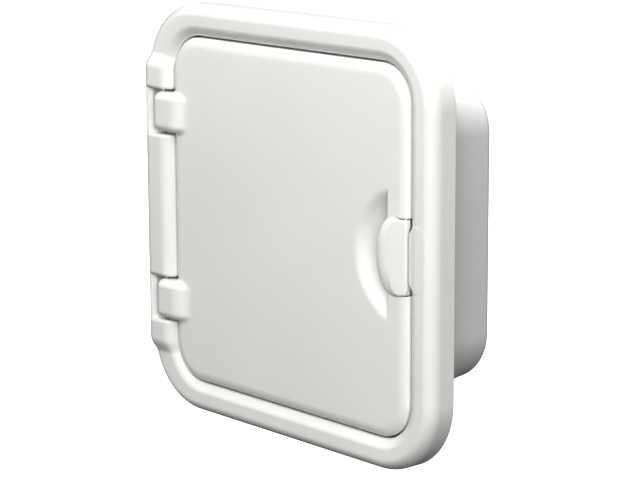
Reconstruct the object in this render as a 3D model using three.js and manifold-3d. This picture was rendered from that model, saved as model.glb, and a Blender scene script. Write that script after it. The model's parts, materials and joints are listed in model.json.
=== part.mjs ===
// Deck hatch with a built-in storage box: a moulded frame that lies on a bulkhead or cockpit side,
// a hinged lid with a sprung finger latch, and a tub that hangs behind the cut-out.
//
// Millimetres. +X to the right seen from outside, +Y into the bulkhead, +Z up.
// The origin is the centre of the cut-out, on the plane where the frame seats (y = 0).
import * as THREE from "three";
import { mergeVertices } from "three/addons/utils/BufferGeometryUtils.js";
import Module from "manifold-3d";

const wasm = await Module();
wasm.setup();

// ---- Driving dimensions -------------------------------------------------------------------

const CORNER_STEPS = 6; // facets in each rounded corner

// Frame, seen from outside. Its hinge side is wider than the other three.
const FRAME_LEFT = -127.7;
const FRAME_RIGHT = 122.3;
const FRAME_HALF_HEIGHT = 125;
const FRAME_CORNER = 43.8;
const FRAME_FRONT = -18.3; // the crown of the bezel
const FRAME_SIDE = 10.3; // height of the plain outer side wall
const CROWN_WIDTH = 7; // how far the crown's elliptical edge reaches inwards
const FACE_INNER = -18.1; // the bezel's face where its mouth starts to fall away
const SKIN = 3; // wall of the hollow bezel
const LIP_Y = -14.7; // the narrow flat that borders the lid
const LEDGE_FRONT = -6; // front of the inner ledge that carries the tub's flange
const FRAME_MIDDLE = (FRAME_LEFT + FRAME_RIGHT) / 2;
const FRAME_HALF_WIDTH = (FRAME_RIGHT - FRAME_LEFT) / 2;

// Lid and the opening that it closes.
const LID_GAP = 1.2;
const LID_HALF_WIDTH = 102.4;
const LID_HALF_HEIGHT = 105.1;
const LID_CORNER = 22.5;
const LID_FRONT = -18;
const LID_SHOULDER = -14.5; // where the rounded edge of the lid meets its skirt
const LID_EDGE_WIDTH = 7;
const LID_BACK = -10;
const LID_SKIN = 2.4;
const LINER_FRONT = -12.2;
const LINER_BACK = -9.8;
const OPENING = {
  halfWidth: LID_HALF_WIDTH + LID_GAP,
  halfHeight: LID_HALF_HEIGHT + LID_GAP,
  corner: LID_CORNER + LID_GAP,
};

// Tub.
const TUB_WALL = 2.5;
const TUB_MOUTH = { halfWidth: 92.5, halfHeight: 95.1, corner: 33 };
const TUB_BACK = { halfWidth: 86.4, halfHeight: 89, corner: 31 };
const TUB_FLANGE_FRONT = -8;
const TUB_DEPTH = 66;
const TUB_EDGE = 6.5; // radius between the tub's walls and its floor
const TUB_CLEARANCE = 0.6; // all round, where the tub passes through the ledge

// Hinge: a raised block on the frame with two pockets, and two lugs on the lid.
const HINGE_X = -113.5;
const HINGE_Y = -16;
const HINGE_PIN_RADIUS = 1.5;
const HINGE_BORE_RADIUS = 1.62;
const BLOCK_FRONT = -21.5;
const BLOCK_HALF_LENGTH = 90;
const BLOCK_EDGE = 7; // radius of its outer edge
const BLOCK_FACE_WIDTH = 4.8; // how far its inner face runs while it falls to the lip
const POCKET_LEFT = -121.8;
const POCKET_FLOOR = -8.5;
const POCKET_RIM = { y: -17.8, width: 4.2, height: 4.8 }; // the bevel outside each pocket
const POCKET = { from: 44.2, to: 71.8 };
const LUG = {
  middle: 58,
  halfLength: 12.2,
  left: -116.5,
  right: -88.7,
  crest: -97.6,
  front: -23.3,
  foot: -17.6,
  edge: 6,
  corner: 5,
};
const KNUCKLE_RADIUS = 3;
const PIN = { from: 35.5, to: 80.5 };

// Finger scoop, a slice of a sphere, and the latch that overhangs it.
const SCOOP_RADIUS = 60.9;
const SCOOP_X = 99.7;
const SCOOP_Y = -66;
const SCOOP_WALL_X = 87.2;
const LATCH_X = 99;
const LATCH_Y = -15;
const LATCH_PIN_RADIUS = 1.2;
const LATCH_BORE_RADIUS = 1.35;
const PIN_BOSS_END = 26;
const TAB = {
  middle: 94,
  left: 79.7,
  right: 102.3,
  corner: 6,
  halfHeight: 23.2,
  crest: 86,
  front: -22,
  edge: -17.9,
  back: -18.2,
  shelfBack: -16.2,
};
const LEVER_HUB_RADIUS = 2.8;
const LEVER_HALF_HEIGHT = 21;
const LEVER_SLOT = { left: 93.4, halfHeight: 21.6, back: -11.7 };
const HOOK_HALF_HEIGHT = 8;
const SPRING = { radius: 1.75, wire: 0.3, from: 8.9, to: 15 };
const KEEPER_HALF_HEIGHT = 10.5;
const STRIKE = { x: 110.55, halfWidth: 6.95, halfHeight: 18.4, corner: 6, front: -17.7 };
const KEEPER = { right: 107.6, front: -12.6, back: -7.2 }; // the slot that the hook enters

// Seals.
const LID_SEAL = { inner: 91, width: 3.5, front: -10.6, back: -8.2 };
const SEAL_CORNER = 17;
const FRAME_SEAL_FRONT = -2.5;

// Fasteners: where each kind stands, as [x, z] on the ledge or on the liner.
const HOLE_X = 98.6;
const HOLE_Z = 101.2;
const mirrored = (x, z) => [
  [x, z],
  [-x, z],
  [x, -z],
  [-x, -z],
];
const MOUNTING_HOLES = [...mirrored(HOLE_X, 62), ...mirrored(60, HOLE_Z)];
const TUB_SCREWS = [...mirrored(HOLE_X, 26), ...mirrored(20, HOLE_Z)];
const LINER_SCREWS = [...mirrored(80, 83), [0, 86], [0, -86]];

// ---- Materials ----------------------------------------------------------------------------

const plastic = (color, roughness) =>
  new THREE.MeshStandardMaterial({ color, roughness, metalness: 0 });
const white = plastic(0xf2f3f1, 0.28);
const tubWhite = plastic(0xe4e4e1, 0.42);
const linerWhite = plastic(0xecedea, 0.5);
const sealGrey = plastic(0x3b3d3e, 0.85);
const stainless = new THREE.MeshStandardMaterial({ color: 0xbfc2c4, roughness: 0.3, metalness: 1 });

// ---- Geometry helpers ---------------------------------------------------------------------

// A closed geometry as a manifold-3d solid.
function solidOf(geometry) {
  const bare = geometry.index ? geometry.toNonIndexed() : geometry.clone();
  bare.deleteAttribute("normal");
  bare.deleteAttribute("uv");
  const merged = mergeVertices(bare, 1e-4);
  return new wasm.Manifold(
    new wasm.Mesh({
      numProp: 3,
      vertProperties: merged.attributes.position.array,
      triVerts: new Uint32Array(merged.index.array),
    }),
  );
}

// A solid as a named mesh.
function meshOf(name, solid, material) {
  const { numProp, vertProperties, triVerts } = solid.getMesh();
  const positions = new Float32Array((vertProperties.length / numProp) * 3);
  for (let i = 0; i < positions.length / 3; i++) {
    positions.set(vertProperties.subarray(i * numProp, i * numProp + 3), i * 3);
  }
  const geometry = new THREE.BufferGeometry();
  geometry.setAttribute("position", new THREE.BufferAttribute(positions, 3));
  geometry.setIndex(new THREE.BufferAttribute(new Uint32Array(triVerts), 1));
  geometry.computeVertexNormals();
  const mesh = new THREE.Mesh(geometry, material);
  mesh.name = name;
  return mesh;
}

const join = (first, ...rest) => rest.reduce((sum, piece) => sum.add(piece), first);
const cut = (first, ...rest) => rest.reduce((left, piece) => left.subtract(piece), first);

// A rounded rectangle in x and z, anticlockwise seen from outside, grown by an offset.
function outline({ halfWidth, halfHeight, corner }, offset = 0, x = 0) {
  const radius = Math.max(corner + offset, 0.5);
  const quarters = [
    [1, 1],
    [-1, 1],
    [-1, -1],
    [1, -1],
  ];
  return quarters.flatMap(([sx, sz], quarter) => {
    const centreX = x + sx * (halfWidth + offset - radius);
    const centreZ = sz * (halfHeight + offset - radius);
    return Array.from({ length: CORNER_STEPS + 1 }, (_, step) => {
      const angle = ((quarter + step / CORNER_STEPS) * Math.PI) / 2;
      return [centreX + radius * Math.cos(angle), centreZ + radius * Math.sin(angle)];
    });
  });
}

// A solid through outlines given as [y, points], from the front to the back.
function loft(sections) {
  const count = sections[0][1].length;
  const positions = sections.flatMap(([y, points]) => points.flatMap(([x, z]) => [x, y, z]));
  const faces = [];
  for (let ring = 0; ring + 1 < sections.length; ring++) {
    for (let i = 0; i < count; i++) {
      const next = (i + 1) % count;
      const front = ring * count;
      const back = front + count;
      faces.push(front + i, back + i, back + next, front + i, back + next, front + next);
    }
  }
  const last = (sections.length - 1) * count;
  for (let i = 1; i + 1 < count; i++) {
    faces.push(0, i, i + 1, last, last + i + 1, last + i);
  }
  const geometry = new THREE.BufferGeometry();
  geometry.setAttribute("position", new THREE.Float32BufferAttribute(positions, 3));
  geometry.setIndex(faces);
  return solidOf(geometry);
}

// A straight-walled solid between two depths.
const prism = (points, front, back) =>
  loft([
    [front, points],
    [back, points],
  ]);

function block(x0, x1, y0, y1, z0, z1) {
  const geometry = new THREE.BoxGeometry(x1 - x0, y1 - y0, z1 - z0);
  geometry.translate((x0 + x1) / 2, (y0 + y1) / 2, (z0 + z1) / 2);
  return solidOf(geometry);
}

// A cylinder along z, centred on x and y.
function rodZ(x, y, radius, z0, z1, sides = 16) {
  const geometry = new THREE.CylinderGeometry(radius, radius, z1 - z0, sides);
  geometry.rotateX(Math.PI / 2);
  geometry.translate(x, y, (z0 + z1) / 2);
  return solidOf(geometry);
}

// A cone or cylinder along y, with its own radius at each end.
function rodY(x, z, frontRadius, backRadius, front, back, sides = 12) {
  const geometry = new THREE.CylinderGeometry(backRadius, frontRadius, back - front, sides);
  geometry.translate(x, (front + back) / 2, z);
  return solidOf(geometry);
}

// A polygon in x and y, drawn along z.
function alongZ(points, z0, z1) {
  const shape = new THREE.Shape(points.map(([x, y]) => new THREE.Vector2(x, y)));
  const geometry = new THREE.ExtrudeGeometry(shape, { depth: z1 - z0, bevelEnabled: false });
  geometry.translate(0, 0, z0);
  return solidOf(geometry);
}

// Points on an arc in a plane, from one angle to another in degrees.
function arc(x, y, radius, from, to, steps) {
  return Array.from({ length: steps + 1 }, (_, step) => {
    const angle = THREE.MathUtils.degToRad(from + ((to - from) * step) / steps);
    return [x + radius * Math.cos(angle), y + radius * Math.sin(angle)];
  });
}

// Sections of an elliptical edge, from its crown down to the full outline.
function roundedEdge(shape, width, front, shoulder, x = 0, steps = 4) {
  return Array.from({ length: steps + 1 }, (_, step) => {
    const angle = ((1 - step / steps) * Math.PI) / 2;
    const y = shoulder + (front - shoulder) * Math.sin(angle);
    return [y, outline(shape, -width * (1 - Math.cos(angle)), x)];
  });
}

// ---- Frame --------------------------------------------------------------------------------

const FRAME_OUTLINE = {
  halfWidth: FRAME_HALF_WIDTH,
  halfHeight: FRAME_HALF_HEIGHT,
  corner: FRAME_CORNER,
};

// The bezel's crowned body with its sloping mouth.
function bezel() {
  const shoulder = -FRAME_SIDE;
  const crown = roundedEdge(FRAME_OUTLINE, CROWN_WIDTH, FRAME_FRONT, shoulder, FRAME_MIDDLE);
  const body = loft([...crown, [0, outline(FRAME_OUTLINE, 0, FRAME_MIDDLE)]]);
  const mouth = loft([
    [FRAME_FRONT - 1, outline(OPENING, 21)],
    [FRAME_FRONT, outline(OPENING, 12.4)],
    [FACE_INNER, outline(OPENING, 6.2)],
    [FACE_INNER + 0.7, outline(OPENING, 4.1)],
    [FACE_INNER + 1.9, outline(OPENING, 2.3)],
    [LIP_Y, outline(OPENING, 0.9)],
  ]);
  const strike = loft([
    [STRIKE.front, outline(STRIKE, -0.7, STRIKE.x)],
    [STRIKE.front + 0.7, outline(STRIKE, 0, STRIKE.x)],
    [LIP_Y + 1.7, outline(STRIKE, 0, STRIKE.x)],
  ]);
  const underStrike = prism(outline(OPENING), LIP_Y, 0);
  return join(cut(body, mouth), cut(strike, underStrike));
}

// A rounded rectangle from its front back to the seat plane, its front edge eased by a radius.
function roundedPlan(plan, x, front, radius) {
  return loft([
    [front, outline(plan, -radius, x)],
    [front + 0.3 * radius, outline(plan, -0.35 * radius, x)],
    [front + radius, outline(plan, 0, x)],
    [0, outline(plan, 0, x)],
  ]);
}

// The raised block on the hinge side: one profile drawn along z, with rounded ends.
function hingeBlock() {
  const right = -OPENING.halfWidth;
  const back = -8;
  const profile = [
    ...arc(FRAME_LEFT + BLOCK_EDGE, BLOCK_FRONT + BLOCK_EDGE, BLOCK_EDGE, 180, 270, 5),
    [right - BLOCK_FACE_WIDTH - 1.3, BLOCK_FRONT],
    [right - BLOCK_FACE_WIDTH + 0.5, BLOCK_FRONT + 0.9],
    [right, LIP_Y],
    [right, back],
    [FRAME_LEFT, back],
  ];
  const length = alongZ(profile, -BLOCK_HALF_LENGTH, BLOCK_HALF_LENGTH);
  const plan = { halfWidth: 20, halfHeight: BLOCK_HALF_LENGTH, corner: 7 };
  return length.intersect(roundedPlan(plan, FRAME_LEFT + plan.halfWidth, BLOCK_FRONT, 5));
}

// The hollow under the bezel, less what stays solid: the hinge block, the pockets and the ribs.
function bezelHollow() {
  const outer = loft([
    [FRAME_FRONT + SKIN, outline(FRAME_OUTLINE, -CROWN_WIDTH + 1, FRAME_MIDDLE)],
    [-14, outline(FRAME_OUTLINE, -6, FRAME_MIDDLE)],
    [-10, outline(FRAME_OUTLINE, -SKIN, FRAME_MIDDLE)],
    [1, outline(FRAME_OUTLINE, -SKIN, FRAME_MIDDLE)],
  ]);
  const wall = prism(outline(OPENING, SKIN), -30, 2);
  const hinge = block(-140, -100, -30, -11, -BLOCK_HALF_LENGTH, BLOCK_HALF_LENGTH);
  const floors = [-1, 1].map((side) => {
    const [low, high] = side < 0 ? [-POCKET.to, -POCKET.from] : [POCKET.from, POCKET.to];
    return block(POCKET_LEFT - SKIN, -100, -30, POCKET_FLOOR + SKIN - 0.5, low - SKIN, high + SKIN);
  });
  const ribBack = FRAME_SEAL_FRONT - 0.5;
  const ribs = [-66, -22, 22, 66].flatMap((place) => [
    block(place - 1, place + 1, -30, ribBack, -140, -90),
    block(place - 1, place + 1, -30, ribBack, 90, 140),
    block(90, 140, -30, ribBack, place - 1, place + 1),
    block(-140, -90, -30, ribBack, place - 1, place + 1),
  ]);
  return cut(outer, wall, hinge, ...floors, ...ribs);
}

// A pocket for a hinge lug, open to the front and to the lid, with a bevel along its outer side.
function pocket(low, high) {
  const right = -100;
  const front = -40;
  const rimTop = POCKET_RIM.y - POCKET_RIM.height;
  const profile = [
    [POCKET_LEFT, POCKET_FLOOR],
    [right, POCKET_FLOOR],
    [right, front],
    [POCKET_LEFT - POCKET_RIM.width, front],
    [POCKET_LEFT - POCKET_RIM.width, rimTop],
    [POCKET_LEFT, POCKET_RIM.y],
  ];
  return alongZ(profile, low, high);
}

function frame() {
  const opening = prism(outline(OPENING), -40, LEDGE_FRONT);
  const passage = prism(outline(TUB_MOUTH, TUB_CLEARANCE), -40, 5);
  const pockets = [pocket(POCKET.from, POCKET.to), pocket(-POCKET.to, -POCKET.from)];
  const pinBores = [
    rodZ(HINGE_X, HINGE_Y, HINGE_BORE_RADIUS, PIN.from - 0.5, PIN.to + 0.5),
    rodZ(HINGE_X, HINGE_Y, HINGE_BORE_RADIUS, -PIN.to - 0.5, -PIN.from + 0.5),
  ];
  const { right, front, back } = KEEPER;
  const keeper = block(100, right, front, back, -KEEPER_HALF_HEIGHT, KEEPER_HALF_HEIGHT);
  const holes = MOUNTING_HOLES.map(([x, z]) => rodY(x, z, 2.25, 2.25, -7, 1));
  const pilots = TUB_SCREWS.map(([x, z]) => rodY(x, z, 1.6, 1.6, -7, -1.2));
  const shell = cut(join(bezel(), hingeBlock()), bezelHollow());
  return cut(shell, opening, passage, keeper, ...pockets, ...pinBores, ...holes, ...pilots);
}

// ---- Tub ----------------------------------------------------------------------------------

// The tub's body between two depths, moved in by a wall's thickness.
function tubBody(inset, front, back) {
  const shape = (share) => ({
    halfWidth: THREE.MathUtils.lerp(TUB_MOUTH.halfWidth, TUB_BACK.halfWidth, share),
    halfHeight: THREE.MathUtils.lerp(TUB_MOUTH.halfHeight, TUB_BACK.halfHeight, share),
    corner: THREE.MathUtils.lerp(TUB_MOUTH.corner, TUB_BACK.corner, share),
  });
  const radius = Math.max(TUB_EDGE - inset, 2);
  const turns = [0, 30, 60, 90].map((degrees) => {
    const angle = THREE.MathUtils.degToRad(degrees);
    const y = back - radius * (1 - Math.sin(angle));
    return [y, outline(shape(1), -inset - radius * (1 - Math.cos(angle)))];
  });
  return loft([[front, outline(shape(0), -inset)], ...turns]);
}

function tub() {
  const flangeShape = outline(OPENING, -0.6);
  const flange = prism(flangeShape, TUB_FLANGE_FRONT, LEDGE_FRONT);
  const shell = join(flange, tubBody(0, TUB_FLANGE_FRONT, TUB_DEPTH));
  const inside = tubBody(TUB_WALL, TUB_FLANGE_FRONT - 1, TUB_DEPTH - TUB_WALL);
  const latchNotch = block(97.4, 110, -10, -5, -13, 13);
  const holes = MOUNTING_HOLES.map(([x, z]) => rodY(x, z, 4.3, 2.3, TUB_FLANGE_FRONT, LEDGE_FRONT));
  const seats = TUB_SCREWS.map(([x, z]) => rodY(x, z, 3.05, 1.75, TUB_FLANGE_FRONT, LEDGE_FRONT));
  return cut(shell, inside, latchNotch, ...holes, ...seats);
}

// ---- Lid ----------------------------------------------------------------------------------

const LID_OUTLINE = {
  halfWidth: LID_HALF_WIDTH,
  halfHeight: LID_HALF_HEIGHT,
  corner: LID_CORNER,
};

function sphere(radius) {
  const geometry = new THREE.SphereGeometry(radius, 40, 28);
  geometry.rotateX(Math.PI / 2);
  geometry.translate(SCOOP_X, SCOOP_Y, 0);
  return solidOf(geometry);
}

// The finger recess and the wall moulded behind it.
function scoop() {
  const reach = 40;
  const recess = sphere(SCOOP_RADIUS).intersect(
    alongZ(
      [
        [50, -30],
        [SCOOP_WALL_X, -30],
        [SCOOP_WALL_X, LID_FRONT],
        [SCOOP_WALL_X - 2.6, -4],
        [50, -4],
      ],
      -reach,
      reach,
    ),
  );
  const bulge = sphere(SCOOP_RADIUS + LID_SKIN).intersect(
    alongZ([[50, -16], [89.4, -16], [86.9, -2], [50, -2]], -reach, reach),
  );
  return { recess, bulge };
}

// One hinge lug: a knuckle round the pin and an arm that slopes down on to the lid's face.
function lug(middle) {
  const { halfLength, left, right, crest, front, foot, edge, corner } = LUG;
  const profile = [
    ...arc(left + edge, front + edge, edge, 180, 270, 4),
    [crest - 2, front],
    [crest + 1.4, front + 1.1],
    [right, foot],
    [right, -16.4],
    [-98, -16.4],
    [-103.5, -12.5],
    ...arc(HINGE_X, HINGE_Y, KNUCKLE_RADIUS, 60, 180, 4),
  ];
  const plan = { halfWidth: 18, halfHeight: halfLength, corner };
  const ends = roundedPlan(plan, left + plan.halfWidth, front, 4.5);
  return alongZ(profile, -halfLength, halfLength).intersect(ends).translate([0, 0, middle]);
}

function lidPanel() {
  const edge = roundedEdge(LID_OUTLINE, LID_EDGE_WIDTH, LID_FRONT, LID_SHOULDER);
  const outer = loft([...edge, [LID_BACK, outline(LID_OUTLINE)]]);
  const hollow = loft([
    [LID_FRONT + LID_SKIN, outline(LID_OUTLINE, -LID_EDGE_WIDTH)],
    [-14, outline(LID_OUTLINE, -LID_SKIN)],
    [LID_BACK + 1, outline(LID_OUTLINE, -LID_SKIN)],
  ]);
  const { recess, bulge } = scoop();
  const bosses = LINER_SCREWS.map(([x, z]) => rodY(x, z, 3.4, 3.4, -16, LINER_FRONT));
  const pinBosses = [
    block(95.4, 101, -16.4, LINER_FRONT - 0.1, LEVER_SLOT.halfHeight - 1, PIN_BOSS_END),
    block(95.4, 101, -16.4, LINER_FRONT - 0.1, -PIN_BOSS_END, 1 - LEVER_SLOT.halfHeight),
  ];
  const lugs = [lug(LUG.middle), lug(-LUG.middle)];
  const { left, halfHeight, back } = LEVER_SLOT;
  const slot = block(left, 110, -30, back, -halfHeight, halfHeight);
  const hookWay = block(95.8, 110, -14, 0, -HOOK_HALF_HEIGHT - 1.6, HOOK_HALF_HEIGHT + 1.6);
  const latchBore = rodZ(LATCH_X, LATCH_Y, LATCH_BORE_RADIUS, 1 - PIN_BOSS_END, PIN_BOSS_END - 1);
  const hingeBores = [
    rodZ(HINGE_X, HINGE_Y, HINGE_BORE_RADIUS, POCKET.from, POCKET.to),
    rodZ(HINGE_X, HINGE_Y, HINGE_BORE_RADIUS, -POCKET.to, -POCKET.from),
  ];
  const pilots = LINER_SCREWS.map(([x, z]) => rodY(x, z, 1.35, 1.35, -15.3, LINER_FRONT + 1));
  const shell = join(cut(outer, hollow), bulge, ...bosses, ...pinBosses, ...lugs);
  return cut(shell, recess, slot, hookWay, latchBore, ...hingeBores, ...pilots);
}

function lidLiner() {
  const plate = prism(outline(LID_OUTLINE, -LID_SKIN - 0.6), LINER_FRONT, LINER_BACK);
  const dish = rodY(SCOOP_X, 0, 35.4, 35.4, -20, 0, 32);
  const scoopHole = dish.intersect(block(50, 89.7, -20, 0, -50, 50));
  const hookNotch = block(95.8, 110, -20, 0, -LEVER_SLOT.halfHeight, LEVER_SLOT.halfHeight);
  const { inner, width, front } = LID_SEAL;
  const shape = { halfWidth: inner, halfHeight: inner + 2.6, corner: SEAL_CORNER };
  const groove = cut(
    prism(outline(shape, width + 0.2), front - 0.1, 0),
    prism(outline(shape, -0.2), -20, 1),
  );
  const holes = LINER_SCREWS.map(([x, z]) => rodY(x, z, 1.7, 1.7, -20, 0));
  return cut(plate, scoopHole, hookNotch, groove, ...holes);
}

function lidSeal() {
  const { inner, width, front, back } = LID_SEAL;
  const shape = { halfWidth: inner, halfHeight: inner + 2.6, corner: SEAL_CORNER };
  const ring = loft([
    [front, outline(shape, width)],
    [back - 0.9, outline(shape, width)],
    [back, outline(shape, width - 0.9)],
  ]);
  const hole = loft([
    [front - 1, outline(shape)],
    [back - 0.9, outline(shape)],
    [back, outline(shape, 0.9)],
    [back + 1, outline(shape, 0.9)],
  ]);
  return cut(ring, hole);
}

function frameSeal() {
  const ring = prism(outline(FRAME_OUTLINE, -SKIN - 0.4, FRAME_MIDDLE), FRAME_SEAL_FRONT, 0);
  return cut(ring, prism(outline(OPENING, SKIN + 0.4), -10, 1));
}

// ---- Latch --------------------------------------------------------------------------------

// The tab's half-moon in x and z, drawn in by one inset all round and another on the right.
function tabOutline(inset, insetRight) {
  const { middle, left, right, corner, halfHeight } = TAB;
  const height = halfHeight - inset;
  const radius = Math.max(corner - inset / 2, 1);
  const arcPoints = (centreX, centreZ, radiusX, radiusZ, from, to, steps) =>
    Array.from({ length: steps + 1 }, (_, step) => {
      const angle = THREE.MathUtils.degToRad(from + ((to - from) * step) / steps);
      return [centreX + radiusX * Math.cos(angle), centreZ + radiusZ * Math.sin(angle)];
    });
  const cornerX = right - insetRight - radius;
  return [
    ...arcPoints(cornerX, height - radius, radius, radius, 0, 90, 4),
    ...arcPoints(middle - insetRight, 0, middle - insetRight - left - inset, height, 90, 270, 20),
    ...arcPoints(cornerX, radius - height, radius, radius, 270, 360, 4),
  ];
}

function latchLever() {
  const head = loft([
    [TAB.front, tabOutline(9, 0.8)],
    [TAB.front + 0.5, tabOutline(5.5, 0.6)],
    [TAB.front + 1.3, tabOutline(3, 0.4)],
    [TAB.front + 2.4, tabOutline(1.2, 0.2)],
    [TAB.front + 3.4, tabOutline(0.2, 0)],
    [TAB.back, tabOutline(0, 0)],
  ]);
  const shelfLeft = 95.2;
  const height = LEVER_HALF_HEIGHT;
  const shelfEnds = block(shelfLeft, TAB.right + 1, -30, 0, -height, height);
  const shelf = prism(tabOutline(0, 0), TAB.back - 1.5, TAB.shelfBack).intersect(shelfEnds);
  const slope = (TAB.edge - TAB.front) / (TAB.right - TAB.crest);
  const beyond = 10;
  const overFace = alongZ(
    [
      [TAB.crest, TAB.front],
      [TAB.right + beyond, TAB.edge + slope * beyond],
      [TAB.right + beyond, TAB.front - beyond],
      [TAB.crest, TAB.front - beyond],
    ],
    -30,
    30,
  );
  const hub = rodZ(LATCH_X, LATCH_Y, LEVER_HUB_RADIUS, -height, height, 20);
  const root = block(shelfLeft, LATCH_X, TAB.back - 1, LATCH_Y + 2.3, -height, height);
  const hookProfile = [
    [99.6, LATCH_Y],
    [101.7, LATCH_Y],
    [102.2, -12.6],
    [105.2, -12.3],
    [105.2, -11.5],
    [102.6, -8.4],
    [100.2, -8.4],
  ];
  const hook = alongZ(hookProfile, -HOOK_HALF_HEIGHT, HOOK_HALF_HEIGHT);
  const wellFrom = SPRING.from - 0.6;
  const wellTo = SPRING.to + 0.8;
  const well = rodZ(LATCH_X, LATCH_Y, SPRING.radius + SPRING.wire + 0.3, wellFrom, wellTo);
  const wellMouth = block(LATCH_X - 2.7, LATCH_X + 2.9, LATCH_Y, -10, wellFrom, wellTo);
  const bore = rodZ(LATCH_X, LATCH_Y, LATCH_BORE_RADIUS, -30, 30);
  return cut(join(head, shelf, root, hub, hook), overFace, well, wellMouth, bore);
}

// A torsion spring round the latch pin, with a leg at each end that points into the lid.
function latchSpring() {
  const { radius, wire, from, to } = SPRING;
  const turns = 5;
  const stepsPerTurn = 12;
  const steps = turns * stepsPerTurn;
  const coil = Array.from({ length: steps + 1 }, (_, step) => {
    const angle = Math.PI + (step / stepsPerTurn) * Math.PI * 2;
    const z = from + ((to - from) * step) / steps;
    return new THREE.Vector3(LATCH_X + radius * Math.cos(angle), LATCH_Y + radius * Math.sin(angle), z);
  });
  const path = new THREE.CatmullRomCurve3([
    new THREE.Vector3(LATCH_X - radius, LATCH_Y + 3.2, from),
    new THREE.Vector3(LATCH_X - radius, LATCH_Y + 1.2, from),
    ...coil,
    new THREE.Vector3(LATCH_X - radius, LATCH_Y + 1.2, to + 0.2),
    new THREE.Vector3(LATCH_X - radius, LATCH_Y + 3.2, to + 0.2),
  ]);
  const points = Array.from({ length: 6 }, (_, i) => {
    const angle = (i / 6) * Math.PI * 2;
    return new THREE.Vector2(wire * Math.cos(angle), wire * Math.sin(angle));
  });
  const section = new THREE.Shape(points);
  return solidOf(new THREE.ExtrudeGeometry(section, { steps: steps + 6, extrudePath: path }));
}

// ---- Fasteners ----------------------------------------------------------------------------

// A cross recess that opens towards the head.
function crossRecess(x, z, front, back) {
  return join(
    block(x - 1.5, x + 1.5, front, back, z - 0.35, z + 0.35),
    block(x - 0.35, x + 0.35, front, back, z - 1.5, z + 1.5),
  );
}

// A countersunk screw, driven from the front through the tub's flange into the ledge.
function tubScrew(x, z) {
  const head = rodY(x, z, 2.9, 1.5, TUB_FLANGE_FRONT + 0.05, LEDGE_FRONT);
  const shank = rodY(x, z, 1.45, 1.45, LEDGE_FRONT - 0.2, -2.4);
  const tip = rodY(x, z, 1.45, 0.4, -2.4, -1.4);
  return cut(join(head, shank, tip), crossRecess(x, z, TUB_FLANGE_FRONT - 1, TUB_FLANGE_FRONT + 1.1));
}

// A pan-head screw, driven from the back through the liner into a boss of the lid.
function linerScrew(x, z) {
  const head = rodY(x, z, 2.6, 2, LINER_BACK + 0.05, LINER_BACK + 1.5);
  const shank = rodY(x, z, 1.25, 1.25, -15, LINER_BACK + 0.1);
  return cut(join(head, shank), crossRecess(x, z, LINER_BACK + 0.6, LINER_BACK + 3));
}

const latchPin = () => rodZ(LATCH_X, LATCH_Y, LATCH_PIN_RADIUS, 1.5 - PIN_BOSS_END, PIN_BOSS_END - 1.5);
const hingePin = (low, high) => rodZ(HINGE_X, HINGE_Y, HINGE_PIN_RADIUS, low, high);

// ---- Assembly -----------------------------------------------------------------------------

const root = new THREE.Group();
const fixed = new THREE.Group();
const lid = new THREE.Group();
const latch = new THREE.Group();
root.add(fixed, lid);
lid.add(latch);

fixed.add(
  meshOf("frame", frame(), white),
  meshOf("storage_tub", tub(), tubWhite),
  meshOf("frame_seal", frameSeal(), sealGrey),
  meshOf("hinge_pin_upper", hingePin(PIN.from, PIN.to), stainless),
  meshOf("hinge_pin_lower", hingePin(-PIN.to, -PIN.from), stainless),
);
TUB_SCREWS.forEach(([x, z], i) => fixed.add(meshOf(`tub_screw_${i + 1}`, tubScrew(x, z), stainless)));

lid.add(
  meshOf("lid_panel", lidPanel(), white),
  meshOf("lid_liner", lidLiner(), linerWhite),
  meshOf("lid_seal", lidSeal(), sealGrey),
  meshOf("latch_pin", latchPin(), stainless),
  meshOf("latch_spring", latchSpring(), stainless),
);
LINER_SCREWS.forEach(([x, z], i) =>
  lid.add(meshOf(`liner_screw_${i + 1}`, linerScrew(x, z), stainless)),
);

latch.add(meshOf("latch_lever", latchLever(), white));

export default root;
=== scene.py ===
"""A moulded deck hatch with a storage tub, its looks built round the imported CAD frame.

Shapes are worked out in millimetres in the row frame and stored in metres. Each moulded piece is a
solid given by a signed distance field, negative inside, from which smooth_solid() makes a mesh.
"""

import json
import math

import bpy
import numpy as np
from mathutils import Matrix, Vector


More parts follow.
